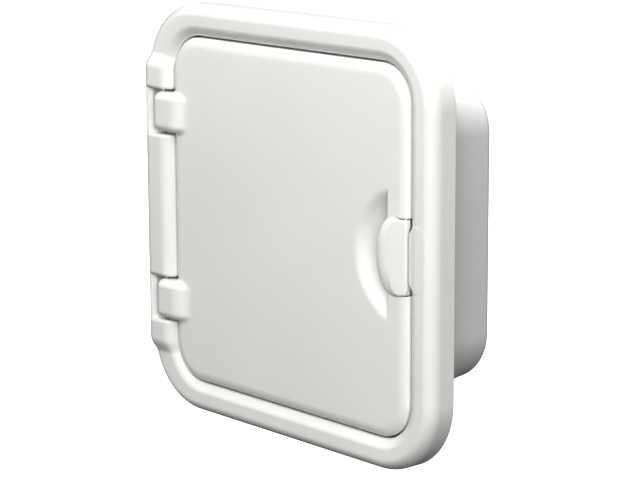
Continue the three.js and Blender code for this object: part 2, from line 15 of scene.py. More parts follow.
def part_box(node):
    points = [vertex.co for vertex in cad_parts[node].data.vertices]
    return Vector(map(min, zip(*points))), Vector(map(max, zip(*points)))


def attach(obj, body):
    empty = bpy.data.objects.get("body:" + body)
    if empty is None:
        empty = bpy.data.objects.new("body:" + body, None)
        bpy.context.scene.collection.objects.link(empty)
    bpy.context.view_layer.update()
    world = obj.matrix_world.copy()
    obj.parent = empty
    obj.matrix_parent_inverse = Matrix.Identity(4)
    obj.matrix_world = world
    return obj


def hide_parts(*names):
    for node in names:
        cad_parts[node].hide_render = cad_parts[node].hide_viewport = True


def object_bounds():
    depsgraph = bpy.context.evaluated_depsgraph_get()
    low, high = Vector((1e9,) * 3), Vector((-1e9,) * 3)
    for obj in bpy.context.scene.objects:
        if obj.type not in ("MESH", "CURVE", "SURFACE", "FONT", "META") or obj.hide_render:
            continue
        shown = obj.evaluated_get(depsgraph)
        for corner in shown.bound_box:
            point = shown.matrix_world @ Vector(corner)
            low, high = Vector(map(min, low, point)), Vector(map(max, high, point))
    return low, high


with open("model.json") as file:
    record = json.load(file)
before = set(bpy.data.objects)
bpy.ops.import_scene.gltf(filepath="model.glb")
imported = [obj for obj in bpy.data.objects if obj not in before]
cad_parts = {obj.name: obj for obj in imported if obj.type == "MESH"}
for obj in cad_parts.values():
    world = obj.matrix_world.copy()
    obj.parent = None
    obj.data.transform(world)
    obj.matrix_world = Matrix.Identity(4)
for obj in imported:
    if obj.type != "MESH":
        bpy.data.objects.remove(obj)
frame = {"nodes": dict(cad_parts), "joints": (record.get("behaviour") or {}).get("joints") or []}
CAD_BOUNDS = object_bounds()
MM = 0.001


def box_mm(node):
    """A CAD node's lowest and highest corners in millimetres."""
    low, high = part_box(node)
    return np.array(low) / MM, np.array(high) / MM


def centre_mm(node):
    """The middle of a CAD node's box in millimetres."""
    low, high = box_mm(node)
    return (low + high) / 2


def joint_axis_mm(name):
    """The x and y of a vertical joint's axis, in millimetres."""
    joint = next(j for j in frame["joints"] if j["name"] == name)
    return joint["pos_m"][0] / MM, joint["pos_m"][1] / MM


# ---- Sizes, from the CAD frame and the design's own wall thicknesses -----------------------

# A name that ends in _SCALE multiplies a distance, which stretches the rounding beside it.
FRAME_LOW, FRAME_HIGH = box_mm("frame")
LINER_LOW, LINER_HIGH = box_mm("lid_liner")
TUB_LOW, TUB_HIGH = box_mm("storage_tub")
LEVER_LOW, LEVER_HIGH = box_mm("latch_lever")
STRIP_LOW, STRIP_HIGH = box_mm("frame_seal")
HINGE_X, HINGE_Y = joint_axis_mm("lid_hinge")
LATCH_X, LATCH_Y = joint_axis_mm("latch_pull")

# The lid, its liner and the opening round it
LID_GAP = 1.2
LINER_INSET = 3.0
LID_HALF_X = LINER_HIGH[0] + LINER_INSET
LID_HALF_Z = box_mm("lid_panel")[1][2]
LID_CORNER = 22.5
LID_FRONT, LID_BACK = -18.0, -10.0
LID_SKIN = 2.4
LID_EDGE_SCALE = 0.5
OPEN_HALF_X = LID_HALF_X + LID_GAP
OPEN_HALF_Z = LID_HALF_Z + LID_GAP
OPEN_CORNER = LID_CORNER + LID_GAP

# The frame's bezel, from its crown down to the lip beside the lid
FRAME_MID_X = (FRAME_LOW[0] + FRAME_HIGH[0]) / 2
FRAME_HALF_X = (FRAME_HIGH[0] - FRAME_LOW[0]) / 2
FRAME_HALF_Z = FRAME_HIGH[2]
FRAME_CORNER, FRAME_ROUND = 43.8, 7.0
FRAME_CROWN, FACE_INNER = -18.3, -18.1
FACE_START, FACE_RUN = 13.0, 8.5
MOUTH_WIDTH, MOUTH_POWER = 5.6, 1.9
LIP_WIDTH, LIP_Y = 0.8, -14.7
BEZEL_SCALE = 0.86
LEDGE_FRONT = -6.0
SEAL_DEPTH, SEAL_INSET, SEAL_CLEARANCE = 2.5, 3.0, 0.4

# The raised block on the hinge side, its two pockets and the lugs in them
HINGE_MID_Z = 58.0
BLOCK_FRONT, BLOCK_HALF_Z = FRAME_LOW[1], 90.0
BLOCK_EDGE, BLOCK_END, BLOCK_FACE_WIDTH = 7.0, 6.0, 4.8
BLOCK_CREST, BLOCK_FILLET = 3.2, 4.5
POCKET_LEFT, POCKET_HALF_X, POCKET_HALF_Z = -121.8, 15, 13.8
POCKET_FLOOR, POCKET_CORNER, POCKET_EDGE = -8.5, 2.0, 2.2
RIM_WIDTH, RIM_HEIGHT, RIM_Y, RIM_RIGHT = 4.2, 4.8, -17.8, -115
LUG_LEFT, LUG_CREST_X, LUG_RIGHT, LUG_REACH = -116.5, -97.3, -88.7, -82.0
LUG_FRONT, LUG_FOOT_Y, LUG_HALF_Z = -23.3, -17.6, 12.2
LUG_CORNER, LUG_EDGE, LUG_CREST, LUG_FILLET = 5.0, 5.0, 2.6, 1.6
LUG_UNDER_SPOT, LUG_UNDER_SLOPE, LUG_UNDER_Y = (-103.5, -12.5), (3.9, 5.5), -16.4
KNUCKLE = 3.0
PIN_RADIUS, PIN_BORE = 1.5, 1.62
PIN_BORE_ENDS = (35, 81)

# The strike beside the pull, and the slot in the frame that the hook goes into
STRIKE_X, STRIKE_HALF_X, STRIKE_HALF_Z, STRIKE_CORNER = 110.55, 6.95, 18.4, 6.0
STRIKE_FRONT, STRIKE_BACK = -17.7, -12
KEEPER_LOW, KEEPER_HIGH = (100, -12.6, -10.5), (107.6, -7.2, 10.5)

# The finger scoop, a slice of a sphere with a wall under the pull
SCOOP_RADIUS, SCOOP_X, SCOOP_Y = 60.9, 99.7, -66.0
SCOOP_WALL_X, SCOOP_WALL_LEAN, SCOOP_WALL_SKIN = 87.2, 2.6 / 14, 2.3
SCOOP_RIM = 1.7
LINER_SCOOP_RADIUS, LINER_SCOOP_RIGHT = 35.4, 89.7

# The pull, its slot in the lid and the hook behind it
LATCH_PIN_RADIUS, LATCH_BORE, LATCH_BORE_END = 1.2, 1.35, 25
LEVER_HUB, LEVER_HALF_Z = 2.8, 21.0
PULL_FRONT, PULL_BACK, PULL_EDGE_Y, PULL_SHELF_BACK = -22.0, -18.2, -17.9, -16.2
PULL_CREST_X, PULL_MID_X, PULL_RIGHT = 86.0, 93.5, 102.3
PULL_CORNER, PULL_EDGE, PULL_CREST = 6.0, 3.6, 2.0
DOME_SCALE, DOME_STEEPER, DOME_FROM_X, DOME_OVER_X = 0.36, 1.3, 90, 8
MOON_SCALE = 15
ROOT_LEFT, ROOT_FRONT, ROOT_DEPTH = 95.2, -17.6, 2.3
SLOT_LEFT, SLOT_HALF_Z, SLOT_BACK = 93.4, 21.6, -11.7
BEARING_LEFT, BEARING_RIGHT, BEARING_END = 95.4, 101, 26
BEARING_FRONT, BEARING_BACK = -16.4, -12.3
HOOK_HALF_Z, HOOK_TIP_Y, HOOK_LEAN = 8.0, -8.4, (3.1, 2.6)
HOOK_ARM, HOOK_NOSE, NOSE_FRONT = (99.6, 102.6), (100.2, 105.2), -12.4
HOOK_WAY_LEFT, HOOK_WAY_FRONT, HOOK_WAY_GAP = 95.8, -14, 1.6
SPRING_WELL_RADIUS, SPRING_WELL_X, SPRING_WELL_Z = 2.35, (96.3, 101.9), (8.3, 15.8)

# The tub behind the frame: half width, half height and corner at its mouth and at its back
TUB_WALL = 2.5
TUB_MOUTH = (92.5, 95.1, 33.0)
TUB_BACK = (86.4, 89.0, 31.0)
TUB_EDGE, TUB_GAP, TUB_FLANGE_INSET = 6.5, 0.6, 0.6
TUB_NOTCH_LEFT, TUB_NOTCH_HALF_Z = 97.4, 13

# The lid's seal: half width, half height and corner of its inner edge, and how wide it is
LID_SEAL_RING = (91.0, 93.6, 17.0)
LID_SEAL_WIDTH = (0.05, 3.45)
LID_SEAL_GROOVE, LID_SEAL_GROOVE_Y = (-0.2, 3.7), -10.7

# Screws and their holes
MOUNT_BORE, MOUNT_HEAD, MOUNT_SINK = 2.25, 4.3, 2.3
TUB_SCREW_HEAD, TUB_SCREW_CONE = 3.05, 0.65
LINER_SCREW_BORE = 1.7
TUB_SCREW_NODES = [n for n in sorted(frame["nodes"]) if n.startswith("tub_screw_")]
LINER_SCREW_NODES = [n for n in sorted(frame["nodes"]) if n.startswith("liner_screw_")]
TUB_SCREWS = [centre_mm(n) for n in TUB_SCREW_NODES]
LINER_SCREWS = [centre_mm(n) for n in LINER_SCREW_NODES]
HOLE_X = max(p[0] for p in TUB_SCREWS)
HOLE_Z = max(p[2] for p in TUB_SCREWS)
MOUNT_Z, MOUNT_X = 62.0, 60.0
MOUNT_HOLES = [
    (sx * x, sz * z)
    for x, z in ((HOLE_X, MOUNT_Z), (MOUNT_X, HOLE_Z))
    for sx in (-1, 1)
    for sz in (-1, 1)
]


# ---- Distance fields ------------------------------------------------------------------------

def rounded_box(x, z, cx, cz, half_x, half_z, radius):
    """Distance to a rounded rectangle."""
    qx = np.abs(x - cx) - (half_x - radius)
    qz = np.abs(z - cz) - (half_z - radius)
    corner = np.hypot(np.maximum(qx, 0), np.maximum(qz, 0))
    return corner + np.minimum(np.maximum(qx, qz), 0) - radius


def both(a, b, radius=0.0):
    """The part inside a and b, its edge rounded outwards."""
    if not radius:
        return np.maximum(a, b)
    edge = np.hypot(np.maximum(a + radius, 0), np.maximum(b + radius, 0))
    return np.minimum(np.maximum(a, b), -radius) + edge


def either(a, b, radius=0.0):
    """a and b together, with a fillet between them."""
    if not radius:
        return np.minimum(a, b)
    fillet = np.hypot(np.maximum(radius - a, 0), np.maximum(radius - b, 0))
    return np.maximum(np.minimum(a, b), radius) - fillet


def without(a, b, radius=0.0):
    """a less b, with the edge of the cut rounded."""
    return both(a, -b, radius)


def soft_max(a, b, width):
    """The larger of a and b, eased over a width."""
    share = np.clip(0.5 + 0.5 * (a - b) / width, 0, 1)
    return b + (a - b) * share + width * share * (1 - share)


def slab(y, front, back):
    """Distance to the space between two values of a coordinate."""
    return np.maximum(front - y, y - back)


def box_field(x, y, z, low, high):
    """Distance to a box along the axes."""
    q = [np.abs(v - (a + b) / 2) - (b - a) / 2 for v, a, b in zip((x, y, z), low, high)]
    outside = np.sqrt(sum(np.maximum(v, 0) ** 2 for v in q))
    return outside + np.minimum(np.maximum(np.maximum(q[0], q[1]), q[2]), 0)


def plane(x, y, spot, normal):
    """Distance to an upright plane through a spot in x and y, from its outward normal."""
    height = (x - spot[0]) * normal[0] + (y - spot[1]) * normal[1]
    return height / math.hypot(*normal)


def tube(x, y, cx, cy, radius):
    """Distance to a round bar through a point, seen end on."""
    return np.hypot(x - cx, y - cy) - radius


def ease(t):
    """Rises smoothly from 0 to 1 as t does."""
    t = np.clip(t, 0, 1)
    return t * t * (3 - 2 * t)


# ---- From a field to a mesh -----------------------------------------------------------------

CORNERS = [(i, j, k) for i in (0, 1) for j in (0, 1) for k in (0, 1)]
CELL_EDGES = [
    (a, b) for a in CORNERS for b in CORNERS
    if a < b and sum(abs(p - q) for p, q in zip(a, b)) == 1
]
PROJECTION_STEPS, LONGEST_STEP = 4, 0.4


def lines(low, high, coarse, bands):
    """Grid lines that are coarse apart, and fine inside each (from, to, step) band."""
    values = [low, high]
    for start, stop, step in bands:
        start, stop = max(start, low), min(stop, high)
        if stop > start:
            values += list(np.linspace(start, stop, max(2, round((stop - start) / step) + 1)))
    values = sorted(values)
    finest = min(step for _, _, step in bands) * 0.55
    kept = [values[0]]
    for value in values[1:]:
        if value - kept[-1] >= finest:
            kept.append(value)
    filled = [kept[0]]
    for value in kept[1:]:
        gap = value - filled[-1]
        extra = max(1, math.ceil(gap / coarse))
        filled += list(filled[-1] + gap * (np.arange(extra) + 1) / extra)
    return np.array(filled)


def mirrored(bands):
    """The bands, and the same ones on the other side of the middle."""
    return bands + [(-stop, -start, step) for start, stop, step in bands]


def gradient(field, points, step=0.02):
    """The field's slope at each point."""
    slopes = []
    for axis in range(3):
        ahead, behind = points.copy(), points.copy()
        ahead[:, axis] += step
        behind[:, axis] -= step
        slopes.append((field(*ahead.T) - field(*behind.T)) / (2 * step))
    return np.stack(slopes, axis=1)


def surface_cells(values):
    """Cells that the surface crosses, and a number for each of them."""
    inside = values < 0
    nx, ny, nz = (size - 1 for size in inside.shape)
    count = sum(inside[i:nx + i, j:ny + j, k:nz + k].astype(np.int8) for i, j, k in CORNERS)
    crossed = (count > 0) & (count < 8)
    number = np.full(crossed.shape, -1, np.int64)
    number[crossed] = np.arange(crossed.sum())
    return inside, np.argwhere(crossed), number


def first_points(values, cells, grid):
    """One point in each crossed cell: the mean of where its edges cross the surface."""
    total = np.zeros((len(cells), 3))
    hits = np.zeros(len(cells))
    for start, stop in CELL_EDGES:
        a, b = cells + start, cells + stop
        fa, fb = values[tuple(a.T)], values[tuple(b.T)]
        crosses = (fa < 0) != (fb < 0)
        share = np.where(crosses, fa / np.where(crosses, fa - fb, 1), 0)[:, None]
        pa = np.stack([grid[axis][a[:, axis]] for axis in range(3)], axis=1)
        pb = np.stack([grid[axis][b[:, axis]] for axis in range(3)], axis=1)
        total += np.where(crosses[:, None], pa + share * (pb - pa), 0)
        hits += crosses
    return total / hits[:, None]


def surface_quads(inside, number):
    """A quad across each grid edge that the surface crosses, wound to face out."""
    quads = []
    for axis in range(3):
        u, v = (axis + 1) % 3, (axis + 2) % 3
        moved = np.moveaxis(inside, (axis, u, v), (0, 1, 2))
        cell = np.moveaxis(number, (axis, u, v), (0, 1, 2))
        here, there = moved[:-1, 1:-1, 1:-1], moved[1:, 1:-1, 1:-1]
        for leaving in (True, False):
            i, j, k = np.nonzero(here & ~there if leaving else ~here & there)
            ring = [cell[i, j, k], cell[i, j + 1, k], cell[i, j + 1, k + 1], cell[i, j, k + 1]]
            quads.append(np.stack(ring if leaving else ring[::-1], axis=1))
    return np.concatenate(quads)


def smooth_solid(name, field, xs, ys, zs):
    """A mesh of the field's surface, with every vertex and normal taken from the field itself."""
    x, y, z = np.meshgrid(xs, ys, zs, indexing="ij", sparse=True)
    x, y, z = (v.astype(np.float32) for v in (x, y, z))
    values = np.broadcast_to(field(x, y, z), (len(xs), len(ys), len(zs)))
    inside, cells, number = surface_cells(values)
    points = first_points(values, cells, (xs, ys, zs))
    for _ in range(PROJECTION_STEPS):
        slope = gradient(field, points)
        pull = field(*points.T) / np.maximum((slope ** 2).sum(axis=1), 0.05)
        step = slope * pull[:, None]
        length = np.linalg.norm(step, axis=1, keepdims=True)
        points -= step * np.minimum(1, LONGEST_STEP / np.maximum(length, 1e-9))
    slope = gradient(field, points, 0.05)
    normals = slope / np.maximum(np.linalg.norm(slope, axis=1, keepdims=True), 1e-9)
    return mesh_object(name, points, surface_quads(inside, number), normals)


def add_object(name, data):
    """A new object with its data, linked to the scene."""
    made = bpy.data.objects.new(name, data)
    bpy.context.scene.collection.objects.link(made)
    return made


def mesh_object(name, points, quads, normals=None):
    """A smooth-shaded object from points in millimetres."""
    mesh = bpy.data.meshes.new(name)
    mesh.vertices.add(len(points))
    mesh.vertices.foreach_set("co", (np.asarray(points) * MM).astype(np.float32).ravel())
    quads = np.asarray(quads, np.int32)
    mesh.loops.add(quads.size)
    mesh.loops.foreach_set("vertex_index", quads.ravel())
    mesh.polygons.add(len(quads))
    starts = np.arange(0, quads.size, quads.shape[1], dtype=np.int32)
    mesh.polygons.foreach_set("loop_start", starts)
    mesh.update(calc_edges=True)
    mesh.validate()
    mesh.shade_smooth()
    if normals is not None and len(mesh.vertices) == len(normals):
        mesh.normals_split_custom_set_from_vertices(normals.tolist())
    return add_object(name, mesh)


# ---- Materials -----------------------------------------------------------------------------

def new_material(name):
    """A material with its Principled shader, and the object's own coordinates."""
    material = bpy.data.materials.new(name)
    material.use_nodes = True
    tree = material.node_tree
    shader = tree.nodes["Principled BSDF"]
    place = tree.nodes.new("ShaderNodeTexCoord")
    return material, tree, shader, place.outputs["Object"]


def noise(tree, place, scale, detail):
    """A grey noise pattern with its mean near a half."""
    texture = tree.nodes.new("ShaderNodeTexNoise")
    texture.inputs["Scale"].default_value = scale
    texture.inputs["Detail"].default_value = detail
    tree.links.new(place, texture.inputs["Vector"])
    return texture.outputs["Fac"]


def ramp(tree, source, low, high):
    """Maps a grey value between 0.3 and 0.7 to a range of numbers or colours."""
    colours = tree.nodes.new("ShaderNodeValToRGB")
    for element, position, value in zip(colours.color_ramp.elements, (0.3, 0.7), (low, high)):
        element.position = position
        element.color = (*value, 1) if isinstance(value, tuple) else (value, value, value, 1)
    tree.links.new(source, colours.inputs["Fac"])
    return colours.outputs["Color"]


def bump(tree, height, strength, distance, under=None):
    """A normal from a height pattern, on top of another normal if one is given."""
    made = tree.nodes.new("ShaderNodeBump")
    made.inputs["Strength"].default_value = strength
    made.inputs["Distance"].default_value = distance
    tree.links.new(height, made.inputs["Height"])
    if under is not None:
        tree.links.new(under, made.inputs["Normal"])
    return made.outputs["Normal"]


def moulded_plastic(name, low, high, roughness, grain_scale, grain_depth):
    """Moulded plastic: faint flow marks in its colour, uneven gloss and a fine surface."""
    material, tree, shader, place = new_material(name)
    flow = noise(tree, place, 9.0, 3.0)
    tree.links.new(ramp(tree, flow, low, high), shader.inputs["Base Color"])
    handled = noise(tree, place, 14.0, 2.0)
    tree.links.new(ramp(tree, handled, *roughness), shader.inputs["Roughness"])
    waves = bump(tree, noise(tree, place, 45.0, 0.0), 0.03, 0.0004)
    grain = bump(tree, noise(tree, place, grain_scale, 2.0), grain_depth, 0.0002, waves)
    tree.links.new(grain, shader.inputs["Normal"])
    shader.inputs["IOR"].default_value = 1.5
    return material


def brushed_steel():
    """Stainless steel with fine marks from drawing and turning."""
    material, tree, shader, place = new_material("stainless_steel")
    stretched = tree.nodes.new("ShaderNodeMapping")
    stretched.inputs["Scale"].default_value = (1.0, 1.0, 0.06)
    tree.links.new(place, stretched.inputs["Vector"])
    marks = noise(tree, stretched.outputs["Vector"], 2600.0, 3.0)
    tint = ramp(tree, marks, (0.52, 0.53, 0.54), (0.68, 0.69, 0.70))
    tree.links.new(tint, shader.inputs["Base Color"])
    tree.links.new(ramp(tree, marks, 0.22, 0.38), shader.inputs["Roughness"])
    tree.links.new(bump(tree, marks, 0.12, 0.00005), shader.inputs["Normal"])
    shader.inputs["Metallic"].default_value = 1.0
    return material


def sponge_rubber():
    """Closed-cell rubber: nearly black, matt, with small pores."""
    material, tree, shader, place = new_material("seal_rubber")
    pores = tree.nodes.new("ShaderNodeTexVoronoi")
    pores.inputs["Scale"].default_value = 1300.0
    tree.links.new(place, pores.inputs["Vector"])
    shade = noise(tree, place, 120.0, 3.0)
    tint = ramp(tree, shade, (0.018, 0.019, 0.021), (0.040, 0.041, 0.044))
    tree.links.new(tint, shader.inputs["Base Color"])
    tree.links.new(ramp(tree, shade, 0.62, 0.82), shader.inputs["Roughness"])
    tree.links.new(bump(tree, pores.outputs["Distance"], 0.35, 0.0002), shader.inputs["Normal"])
    return material


WHITE = moulded_plastic(
    "white_gloss_abs", (0.80, 0.803, 0.775), (0.83, 0.833, 0.81),
    roughness=(0.28, 0.325), grain_scale=900.0, grain_depth=0.08,
)
TUB_WHITE = moulded_plastic(
    "tub_satin_abs", (0.74, 0.745, 0.73), (0.78, 0.785, 0.77),
    roughness=(0.34, 0.46), grain_scale=700.0, grain_depth=0.18,
)
LINER_WHITE = moulded_plastic(
    "liner_grained_abs", (0.78, 0.78, 0.765), (0.82, 0.82, 0.805),
    roughness=(0.48, 0.60), grain_scale=1500.0, grain_depth=0.55,
)
STEEL = brushed_steel()
RUBBER = sponge_rubber()


def place_piece(piece, body, slot, material, *nodes):
    """Gives a piece its material and its body, and hides the CAD nodes that it stands for."""
    piece.data.materials.clear()
    piece.data.materials.append(material)
    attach(piece, body)
    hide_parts(*nodes)


# ---- Frame ------------------------------------------------------------------------------------

def hinge_block(x, y, z):
    """The raised block on the hinge side, with rounded ends."""
    crest_x = -OPEN_HALF_X - BLOCK_FACE_WIDTH
    inner = plane(x, y, (crest_x, BLOCK_FRONT), (LIP_Y - BLOCK_FRONT, -BLOCK_FACE_WIDTH))
    section = both(FRAME_LOW[0] - x, soft_max(BLOCK_FRONT - y, inner, BLOCK_CREST), BLOCK_EDGE)
    return both(section, np.abs(z) - BLOCK_HALF_Z, BLOCK_END)


def bezel(y, outer, opening):
    """The ring round the opening: a rounded crown that falls to a lip beside the lid."""
    face = FRAME_CROWN + (FACE_INNER - FRAME_CROWN) * ease((FACE_START - opening) / FACE_RUN)
    depth = np.clip((MOUTH_WIDTH + LIP_WIDTH - opening) / MOUTH_WIDTH, 0, 1)
    top = face + (LIP_Y - FACE_INNER) * depth ** MOUTH_POWER
    return both(outer, (top - y) * BEZEL_SCALE, FRAME_ROUND)


def hinge_pocket(x, y, z, side):
    """The recess for one hinge lug, and the bevel on its outer rim."""
    middle = side * HINGE_MID_Z
    recess = rounded_box(
        x, z, POCKET_LEFT + POCKET_HALF_X, middle, POCKET_HALF_X, POCKET_HALF_Z, POCKET_CORNER
    )
    recess = np.maximum(recess, y - POCKET_FLOOR)
    rim = plane(x, y, (POCKET_LEFT, RIM_Y), (-RIM_HEIGHT, RIM_WIDTH))
    bevel = np.maximum(np.maximum(rim, x - RIM_RIGHT), np.abs(z - middle) - POCKET_HALF_Z)
    return np.minimum(recess, bevel)


def frame_field(x, y, z):
    """The bezel with its hinge block and strike, less the opening, pockets, slots and holes."""
    outer = rounded_box(x, z, FRAME_MID_X, 0, FRAME_HALF_X, FRAME_HALF_Z, FRAME_CORNER)
    opening = rounded_box(x, z, 0, 0, OPEN_HALF_X, OPEN_HALF_Z, OPEN_CORNER)
    passage = rounded_box(x, z, 0, 0, *(size + TUB_GAP for size in TUB_MOUTH))
    body = either(bezel(y, outer, opening), hinge_block(x, y, z), BLOCK_FILLET)
    body = both(np.maximum(body, outer), y, 0.5)
    strike = rounded_box(x, z, STRIKE_X, 0, STRIKE_HALF_X, STRIKE_HALF_Z, STRIKE_CORNER)
    strike = both(strike, STRIKE_FRONT - y, 0.7)
    body = either(body, np.maximum(strike, y - STRIKE_BACK), 1.2)
    body = without(body, np.maximum(opening, y - LEDGE_FRONT), 0.35)
    body = without(body, passage, 0.3)
    for side in (-1, 1):
        body = without(body, hinge_pocket(x, y, z, side), POCKET_EDGE)
    body = without(body, box_field(x, y, z, KEEPER_LOW, KEEPER_HIGH))
    groove = np.maximum(outer + SEAL_INSET, SEAL_INSET - opening)
    body = without(body, np.maximum(groove, -SEAL_DEPTH - 0.1 - y))
    for hole_x, hole_z in MOUNT_HOLES:
        hole = np.maximum(tube(x, z, hole_x, hole_z, MOUNT_BORE), LEDGE_FRONT - 1 - y)
        body = without(body, hole, 0.3)
    near, far = PIN_BORE_ENDS
    pin = np.maximum(tube(x, y, HINGE_X, HINGE_Y, PIN_BORE), np.abs(z) - far)
    return without(body, np.maximum(pin, near - np.abs(z)))


def build_frame():
    fine = 0.5
    holes = [(c - 3, c + 3, fine) for c in (-60, -20, 20, 60)]
    bands = [(-130, -90, fine), (90, 124, fine), *holes]
    xs = lines(FRAME_LOW[0] - 0.7, FRAME_HIGH[0] + 0.7, 5, bands)
    ys = lines(BLOCK_FRONT - 0.7, 0.7, 0.5, [(-22.5, 0.7, 0.5)])
    side = [(37, 93, fine), (93, 127, fine), (17, 23, fine), (23, 29, fine)]
    zs = lines(-FRAME_HALF_Z - 0.7, FRAME_HALF_Z + 0.7, 4, mirrored(side))
    piece = smooth_solid("frame_moulding", frame_field, xs, ys, zs)
    place_piece(piece, "frame_body", "white_gloss", WHITE, "frame")


# ---- Lid --------------------------------------------------------------------------------------

def scoop_fields(x, y, z):
    """The finger scoop's bowl, and its straight wall under the pull."""
    bowl = np.sqrt((x - SCOOP_X) ** 2 + (y - SCOOP_Y) ** 2 + z ** 2) - SCOOP_RADIUS
    wall = plane(x, y, (SCOOP_WALL_X, LID_FRONT), (1, SCOOP_WALL_LEAN))
    return bowl, wall


def lug_field(x, y, z, side):
    """One hinge lug: rounded round the pin, with an arm that runs down on to the lid's face."""
    middle_x, half_x = (LUG_LEFT + LUG_REACH) / 2, (LUG_REACH - LUG_LEFT) / 2
    plan = rounded_box(x, z, middle_x, side * HINGE_MID_Z, half_x, LUG_HALF_Z, LUG_CORNER)
    fall = (LUG_FOOT_Y - LUG_FRONT, LUG_CREST_X - LUG_RIGHT)
    slope = plane(x, y, (LUG_CREST_X, LUG_FRONT), fall)
    lug = both(plan, soft_max(LUG_FRONT - y, slope, LUG_CREST), LUG_EDGE)
    knuckle = both(LUG_LEFT - x, y - HINGE_Y - KNUCKLE, KNUCKLE - 0.1)
    lug = np.maximum(lug, x - LUG_RIGHT - 2)
    underside = np.minimum(plane(x, y, LUG_UNDER_SPOT, LUG_UNDER_SLOPE), y - LUG_UNDER_Y)
    lug = np.maximum(np.maximum(lug, knuckle), underside)
    return without(lug, tube(x, y, HINGE_X, HINGE_Y, PIN_BORE))


def latch_cuts(x, y, z, shell):
    """A lid shell less the pull's slot, the hook's way through and the latch pin's bore."""
    slot = np.maximum(np.maximum(SLOT_LEFT - x, np.abs(z) - SLOT_HALF_Z), y - SLOT_BACK)
    shell = without(shell, slot, 0.6)
    way = np.maximum(HOOK_WAY_LEFT - x, np.abs(z) - HOOK_HALF_Z - HOOK_WAY_GAP)
    shell = without(shell, np.maximum(way, HOOK_WAY_FRONT - y))
    pin = np.maximum(tube(x, y, LATCH_X, LATCH_Y, LATCH_BORE), np.abs(z) - LATCH_BORE_END)
    return without(shell, pin)


def lid_field(x, y, z):
    """The lid's hollow shell with its scoop, the latch's bearings and the two hinge lugs."""
    outline = rounded_box(x, z, 0, 0, LID_HALF_X, LID_HALF_Z, LID_CORNER)
    shell = both(outline * LID_EDGE_SCALE, LID_FRONT - y, 3.5)
    shell = both(shell, y - LID_BACK, 0.3)
    cavity = both(outline + LID_SKIN, LID_FRONT + LID_SKIN - y, 2.0)
    shell = without(shell, cavity, 0.3)
    bowl, wall = scoop_fields(x, y, z)
    bulge = both(bowl - LID_SKIN, wall - SCOOP_WALL_SKIN, 1.5)
    bulge = np.maximum(bulge, LID_FRONT + 1 - y)
    shell = either(shell, np.maximum(bulge, outline + 4))
    for end in (-1, 1):
        low, high = sorted((end * (SLOT_HALF_Z - 1), end * BEARING_END))
        bearing = box_field(
            x, y, z, (BEARING_LEFT, BEARING_FRONT, low), (BEARING_RIGHT, BEARING_BACK, high)
        )
        shell = either(shell, bearing)
    scooped = np.maximum(shell, soft_max(LID_FRONT - y, -bowl, SCOOP_RIM))
    shell = either(scooped, both(shell, -wall, 0.45))
    shell = latch_cuts(x, y, z, shell)
    for side in (-1, 1):
        shell = either(shell, lug_field(x, y, z, side), LUG_FILLET)
    return shell


def build_lid():
    fine = 0.5
    xs = lines(-119.2, 103.2, 5, [(-119.2, -84, fine), (56, 92, 0.75), (92, 103.2, fine)])
    ys = lines(-24.0, -2.0, 0.55, [(-24, -9.5, 0.45), (-9.5, -2, 0.7)])
    side = [(0, 38, 0.8), (17, 28, fine), (43, 73, fine), (80, 106, fine)]
    zs = lines(-106, 106, 4, mirrored(side))
    piece = smooth_solid("lid_moulding", lid_field, xs, ys, zs)
    place_piece(piece, "lid", "white_gloss", WHITE, "lid_panel")


def liner_field(x, y, z):
    """The liner's plate, less its scoop hole, latch notch, seal groove and screw holes."""
    half_x, half_z, corner = (v - LINER_INSET for v in (LID_HALF_X, LID_HALF_Z, LID_CORNER))
    plan = rounded_box(x, z, 0, 0, half_x, half_z, corner)
    plate = both(plan, slab(y, LINER_LOW[1], LINER_HIGH[1]), 0.5)
    scoop = np.maximum(tube(x, z, SCOOP_X, 0, LINER_SCOOP_RADIUS), x - LINER_SCOOP_RIGHT)
    plate = without(plate, scoop, 0.6)
    plate = without(plate, np.maximum(HOOK_WAY_LEFT - x, np.abs(z) - SLOT_HALF_Z), 0.5)
    inside = rounded_box(x, z, 0, 0, *LID_SEAL_RING)
    groove = np.maximum(slab(inside, *LID_SEAL_GROOVE), LID_SEAL_GROOVE_Y - y)
    plate = without(plate, groove, 0.25)
    for spot in LINER_SCREWS:
        plate = without(plate, tube(x, z, spot[0], spot[2], LINER_SCREW_BORE), 0.25)
    return plate


def build_liner():
    fine = 0.5
    xs = lines(-100, 100, 4, [(-100, -77, fine), (77, 100, fine), (-3, 3, fine), (62, 77, 0.8)])
    ys = lines(LINER_LOW[1] - 0.5, LINER_HIGH[1] + 0.5, 0.35, [(-13, -9, 0.35)])
    side = [(78, 103, fine), (17, 22, fine), (0, 37, 0.9)]
    zs = lines(-103, 103, 4, mirrored(side))
    piece = smooth_solid("lid_liner_plate", liner_field, xs, ys, zs)
    place_piece(piece, "lid", "liner_white", LINER_WHITE, "lid_liner")


# ---- Latch ------------------------------------------------------------------------------------

